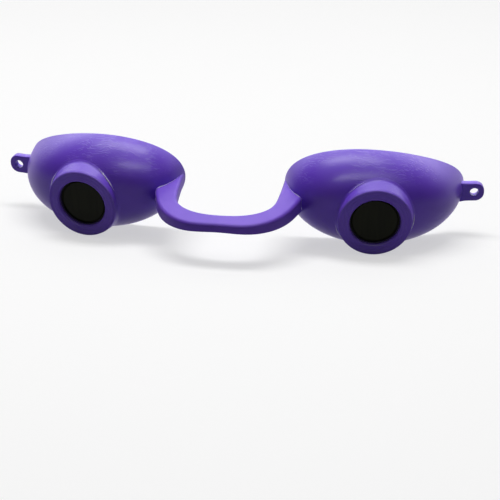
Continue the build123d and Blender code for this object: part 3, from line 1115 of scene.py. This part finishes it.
def violet_plastic(name, violets, specular, roughness):
    """Satin violet plastic: clouds, drag marks and edges painted paler as highlights, rougher
    worn edges, lathe lines and fine grain.

    The lathe lines are a sine of the radius of a turned row, in waves of 21 radians a millimetre.
    """
    material, shader = new_material(name)
    place = object_place(material)
    marks, worn_edge_highlight = drag_marks_and_highlight(material, place), trait(material, "worn_edge_highlight")

    clouds = ramp(material, noise(material, place, CLOUD_SCALE, 3.0), *CLOUD_EDGES)
    colour = mixed(material, clouds, *violets)
    # Painted highlight: the strokes high on the crowns are mixed towards pale violet.
    colour = mixed(material, times(material, marks, MARKS_HIGHLIGHT_PALE), colour, VIOLET_PALE)
    # Painted highlight: the barrels' edges are mixed towards pale violet.
    colour = mixed(material, times(material, worn_edge_highlight, EDGE_HIGHLIGHT_PALE), colour, VIOLET_PALE)
    link(material, colour, shader.inputs["Base Color"])

    grain = noise(material, place, GRAIN_SCALE, 3.0)
    waves = {0: times(material, trait(material, "turned"), LATHE_WAVE)}
    lathe = add_node(material, "ShaderNodeMath", waves, operation="SINE").outputs[0]
    layers = (grain, *GRAIN_BUMP), (marks, *MARKS_BUMP), (lathe, *LATHE_BUMP)
    link(material, bumps(material, *layers), shader.inputs["Normal"])

    smear = noise(material, place, SMEAR_SCALE, 3.0)
    rough = between(material, smear, roughness - SMEAR_ROUGH, roughness + SMEAR_ROUGH)
    worn = {0: worn_edge_highlight, 1: RUBBED_ROUGH, 2: rough}
    worn_rough = add_node(material, "ShaderNodeMath", worn, operation="MULTIPLY_ADD").outputs[0]
    link(material, worn_rough, shader.inputs["Roughness"])
    set_values(shader, {"Specular IOR Level": specular, **WAXY})
    return material


violet = violet_plastic("violet_plastic", CUP_VIOLETS, specular=0.33, roughness=0.31)
# The bridge's finish is rougher and duller, and its violets carry painted shade.
bridge_shaded_violet = violet_plastic("bridge_shaded_violet", BRIDGE_SHADED_VIOLETS, specular=0.27, roughness=0.46)
print("violet plastic:", len(violet.node_tree.nodes), "nodes")

# %% [markdown]
# ## Flash finish
#
# The flash is the same plastic, stretched thin and whitened, and its near-white colour is also a
# painted highlight, the glint of a thin ridge. A line that shines by itself would be simpler, but
# it would glow in the shade. So it is a nearly white plastic with a strong gloss, a clear coat and
# much sheen, which catches the lamps from almost any side.

# %% Pale flash
FLASH_PALES = ((0.70, 0.62, 0.98), (0.96, 0.94, 1.0))
GLINT_WHITENING_SCALE, GLINT_WHITENING_EDGES = 700.0, (0.35, 0.7)


def pale_flash():
    """Whitened plastic, partly a painted glint, glossier, with a little variation along the line.
    """
    material, shader = new_material("pale_flash")
    whitening_and_glint = noise(material, object_place(material), GLINT_WHITENING_SCALE)
    # Painted highlight in part: the near-white stands for the ridge's glint as well as whitened
    # flash.
    colour = mixed(material, ramp(material, whitening_and_glint, *GLINT_WHITENING_EDGES), *FLASH_PALES)
    link(material, colour, shader.inputs["Base Color"])
    set_values(shader, {
        "Roughness": 0.25, "Specular IOR Level": 1.0, "Sheen Weight": 1.0,
        "Sheen Roughness": 0.5, "Coat Weight": 1.0, "Coat Roughness": 0.2,
    })
    return material


flash_finish = pale_flash()
print("flash finish:", len(flash_finish.node_tree.nodes), "nodes")

# %% [markdown]
# ## Lens finish
#
# The lens is a smooth plastic so dark that only a trace of olive is left in it. Clear dark glass
# could be made with transmission, but nothing behind this lens is ever seen, so it is opaque,
# with fine upright streaks in its colour and a faint smear in its gloss. Its lip is a little
# violet and paler, as it is in the photograph, which is a painted highlight of a ledge that
# catches the light, and the skin's own values say where the lip is.

# %% Dark lens
LENS_OLIVES = ((0.0125, 0.0165, 0.0026), (0.0165, 0.0210, 0.0040))
LIP_HIGHLIGHT_VIOLET = (0.055, 0.040, 0.12)
STREAK_SCALE, STREAK_STRETCH, STREAK_EDGES = 900.0, (1.0, 0.12, 0.12), (0.3, 0.7)
LENS_SMEAR_SCALE, LENS_ROUGH = 200.0, (0.16, 0.28)


def dark_lens():
    """Nearly black olive plastic with fine vertical streaks and a smear in its gloss."""
    material, shader = new_material("dark_lens")
    place = object_place(material)
    streak = noise(material, place, STREAK_SCALE, 2.0, (STREAK_STRETCH, (0.0, 0.0, 0.0)))
    colour = mixed(material, ramp(material, streak, *STREAK_EDGES), *LENS_OLIVES)
    # Painted highlight: the lip is mixed towards a paler violet, as a lit ledge.
    colour = mixed(material, trait(material, "lip"), colour, LIP_HIGHLIGHT_VIOLET)
    link(material, colour, shader.inputs["Base Color"])
    rough = between(material, noise(material, place, LENS_SMEAR_SCALE), *LENS_ROUGH)
    link(material, rough, shader.inputs["Roughness"])
    set_values(shader, {"Specular IOR Level": 0.06})
    return material


lens_finish = dark_lens()
print("lens finish:", len(lens_finish.node_tree.nodes), "nodes")

# %% [markdown]
# ## Who carries what
#
# Each skin of a cup, barrel, lug and lens rides on its eye's body and hides its CAD piece, and
# the flash lines ride with them. On the real goggles the bridge is the one piece that bends, about
# the hinge at each corner. Here its two halves hide the CAD bridge and arms but ride on no body:
# their places are only baked in as they lie at rest, and the ends of a bend, 5 mm on each side of
# the hinge, are worked out below but not used.

# %% Bodies, slots and finishes
def dress(piece, finish):
    """Gives a piece its finish, in a new material slot."""
    piece.data.materials.append(finish)


BEND_HALF = 5.0
BEND_FROM, BEND_TO = 0.5, 0.62


def band_middle(share):
    """Worn place in the middle of the band's top at a share of its length."""
    return band_points(np.array([share]), *(np.array([part]) for part in (0.5, 0.0, 0.0, 0.0)))[0]


hinge_place = np.array(hinge["pos_m"])
bend_way = normalised(leaned(band_middle(BEND_TO) - band_middle(BEND_FROM)))

for side, flip in SIDES.items():
    eye = side + "_eye"
    for piece, node in (
        (cups[side], "_eyecup"), (barrels[side], "_lens_barrel"), (lugs[side], "_strap_lug"),
    ):
        dress(piece, violet)
        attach(piece, eye)
        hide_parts(side + node)
    dress(lenses[side], lens_finish)
    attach(lenses[side], eye)
    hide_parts(side + "_lens")
    for line in flashes[side]:
        dress(line, flash_finish)
        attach(line, eye)
    dress(bridges[side], bridge_shaded_violet)
    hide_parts("nose_bridge", side + "_bridge_arm")
    start, end = (
        (hinge_place + reach * MM * BEND_HALF * bend_way) * flip for reach in (-1, 1)
    )
    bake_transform(bridges[side], "bridge", eye, start=tuple(start), end=tuple(end))

# %% [markdown]
# ## Floor
#
# The goggles lie on a plain pale floor, which keeps their shadow. A truly white floor would
# throw light up at the fronts, which are dark in the photograph. So this one is dark for the
# light that it scatters. For the camera it is a lighter grey that glows by itself, more so far
# away, where the lamps don't reach. The gloss of the plastic sees it glow strongly and slightly
# violet, which stands in for the pale room round a product table.

# %% Floor
FLOOR_HALF = 2.0
FLOOR_PALES, FLOOR_BOUNCE = ((0.38, 0.38, 0.38), (0.42, 0.42, 0.42)), (0.20, 0.19, 0.22)
FLOOR_GLOW, FLOOR_MIRRORED = 0.02, 0.78
FLOOR_SEEN, FLOOR_FAR, FAR_FROM, FAR_FULL = 0.57, 0.97, 0.2, 1.4
GLOW_WHITE, GLOW_VIOLET = (1.0, 1.0, 1.0), (0.86, 0.80, 1.0)
FLOOR_CLOUDS = 3.0


def floor_finish():
    """Matte grey whose colour and glow are chosen by the ray: camera, gloss or scattered."""
    material, shader = new_material("pale_floor")
    place = object_place(material)
    path = add_node(material, "ShaderNodeLightPath").outputs
    pale = mixed(material, noise(material, place, FLOOR_CLOUDS), *FLOOR_PALES)
    colour = mixed(material, path["Is Camera Ray"], FLOOR_BOUNCE, pale)
    link(material, colour, shader.inputs["Base Color"])
    away = add_node(material, "ShaderNodeVectorMath", {0: place}, operation="LENGTH")
    far = ramp(material, away.outputs["Value"], FAR_FROM, FAR_FULL)
    glow = between(material, path["Is Glossy Ray"], FLOOR_GLOW, FLOOR_MIRRORED)
    seen_glow = between(material, far, FLOOR_SEEN, FLOOR_FAR)
    glow = between(material, path["Is Camera Ray"], glow, seen_glow)
    link(material, glow, shader.inputs["Emission Strength"])
    tint = mixed(material, path["Is Glossy Ray"], GLOW_WHITE, GLOW_VIOLET)
    link(material, tint, shader.inputs["Emission Color"])
    set_values(shader, {"Roughness": 0.9, "Specular IOR Level": 0.1})
    return material


def stage_floor():
    """Wide flat floor at the height on which the goggles rest."""
    mesh = bpy.data.meshes.new("floor")
    corners = [(x * FLOOR_HALF, y * FLOOR_HALF, 0) for x, y in ((-1, -1), (1, -1), (1, 1), (-1, 1))]
    mesh.from_pydata(corners, [], [(0, 1, 2, 3)])
    mesh.materials.append(floor_finish())
    floor = bpy.data.objects.new("floor", mesh)
    bpy.context.scene.collection.objects.link(floor)
    floor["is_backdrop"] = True


stage_floor()
print(f"floor {2 * FLOOR_HALF:.0f} m wide")

# %% [markdown]
# ## Lamps
#
# Three soft lamps hang over the goggles: a small bright one above and a little behind, a broad
# weak one in front of it and one far back. So their tops are light and their fronts stay dark,
# as in the photograph. The streak on each dome is the mirror image of a narrow strip lamp, which
# only the gloss sees. One large lamp would be simpler, but it would light the fronts too.

# %% Lamps
LIT_PLACE = np.array([0.0, 0.0, 0.012])


def placed(right, up, back, place):
    """World matrix of a lamp or camera that looks against back, with right and up as its axes."""
    matrix = np.eye(4)
    matrix[:3] = np.stack([right, up, back, place], axis=1)
    return Matrix(matrix.tolist())


def soft_lamp(name, place, width, height, power, along=(1.0, 0.0, 0.0)):
    """Rectangular area lamp with its width along a direction, turned towards the goggles."""
    data = bpy.data.lights.new(name, "AREA")
    data.shape = "RECTANGLE"
    data.size, data.size_y, data.energy = width, height, power
    lamp = bpy.data.objects.new(name, data)
    bpy.context.scene.collection.objects.link(lamp)
    right, away = normalised(np.array(along)), np.array(place) - LIT_PLACE
    back = normalised(away - away @ right * right)
    lamp.matrix_world = placed(right, np.cross(back, right), back, place)
    return lamp


soft_lamp("top_lamp", (-0.05, 0.10, 0.60), 0.55, 0.18, 3.0)
soft_lamp("front_lamp", (0.0, -0.12, 0.60), 0.9, 0.4, 0.8)
soft_lamp("rear_lamp", (0.0, 0.42, 0.42), 0.9, 0.4, 0.7)
strip = soft_lamp("strip_lamp", (0.29, -0.38, 0.58), 0.86, 0.03, 2.4, along=(0.91, 0.0, 0.41))
strip.visible_diffuse = False
print("lamps:", {lamp.name: round(lamp.energy, 2) for lamp in bpy.data.lights})

# %% [markdown]
# ## World
#
# The world is white for the camera and almost dark for everything else, so that the lamps alone
# make the shadow. Only the gloss of the plastic sees it pale behind the goggles, and brighter
# than white high up there, which stands in for a large soft box behind the table. A lamp of
# that size would do the same, but it would also light the cups' backs.

# %% World
AMBIENT, BEHIND, BEHIND_HIGH = 0.015, 0.98, 2.7
HIGH_FROM, HIGH_FULL, BEHIND_FULL = 0.15, 0.5, 0.7
CAMERA_WHITE = 1.0


def plain_world():
    """White world whose strength is chosen by the ray: camera, gloss or scattered."""
    world = bpy.data.worlds.new("studio")
    world.use_nodes = True
    background = world.node_tree.nodes["Background"]
    background.inputs["Color"].default_value = (1.0, 1.0, 1.0, 1.0)
    path = add_node(world, "ShaderNodeLightPath").outputs
    way = add_node(world, "ShaderNodeTexCoord").outputs["Generated"]
    axes = add_node(world, "ShaderNodeSeparateXYZ", {"Vector": way}).outputs
    bright = between(world, ramp(world, axes["Z"], HIGH_FROM, HIGH_FULL), BEHIND, BEHIND_HIGH)
    pale = times(world, ramp(world, axes["Y"], 0.0, BEHIND_FULL), bright)
    around = between(world, path["Is Glossy Ray"], AMBIENT, pale)
    strength = between(world, path["Is Camera Ray"], around, CAMERA_WHITE)
    link(world, strength, background.inputs["Strength"])
    bpy.context.scene.world = world
    return world


print("world:", len(plain_world().node_tree.nodes), "nodes")

# %% [markdown]
# ## Camera
#
# The camera stands where the photograph seems to have been taken from. It could be placed by
# eye, but its place was worked out from the two rings, the cups' outlines and the strap holes,
# so that the render can be laid over the photograph. It is given as the goggles are worn, and
# leaned with them.

# %% Camera
AZIMUTH, ELEVATION, TILT = (math.radians(angle_of) for angle_of in (10.07, 31.40, -1.37))
AIM, DISTANCE = np.array([5.56, 0.0, -9.784]), 388.79
LENS_LENGTH, SENSOR = 115.2, 36.0
CLIP_NEAR, CLIP_FAR = 0.01, 10.0


def photo_camera():
    """Camera as worn: back from its aim by azimuth and elevation, tilted, then leaned too."""
    back = np.array([
        math.sin(AZIMUTH) * math.cos(ELEVATION),
        -math.cos(AZIMUTH) * math.cos(ELEVATION),
        math.sin(ELEVATION),
    ])
    right = np.array([math.cos(AZIMUTH), math.sin(AZIMUTH), 0.0])
    up = np.cross(back, right)
    turned_right = math.cos(TILT) * right + math.sin(TILT) * up
    turned_up = -math.sin(TILT) * right + math.cos(TILT) * up
    data = bpy.data.cameras.new("photo_camera")
    data.lens, data.sensor_width = LENS_LENGTH, SENSOR
    data.clip_start, data.clip_end = CLIP_NEAR, CLIP_FAR
    camera = bpy.data.objects.new("photo_camera", data)
    bpy.context.scene.collection.objects.link(camera)
    axes = [leaned(axis) for axis in (turned_right, turned_up, back)]
    camera.matrix_world = placed(*axes, on_table(AIM + back * DISTANCE))
    return camera


bpy.context.scene.camera = photo_camera()
bpy.context.scene.view_settings.view_transform = "Standard"
print(f"camera {DISTANCE:.0f} mm from its aim, lens {LENS_LENGTH} mm")

# %% [markdown]
# ## Sizes
#
# The dressed goggles have to be as large as the CAD model, so both boxes are written down side
# by side. A look at the render alone wouldn't show a millimetre too much.

# %% Sizes of both models
visual_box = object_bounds()
for name, box in (("CAD", cad_box), ("visual", visual_box)):
    print(name, [[round(value / MM, 2) for value in corner] for corner in box])
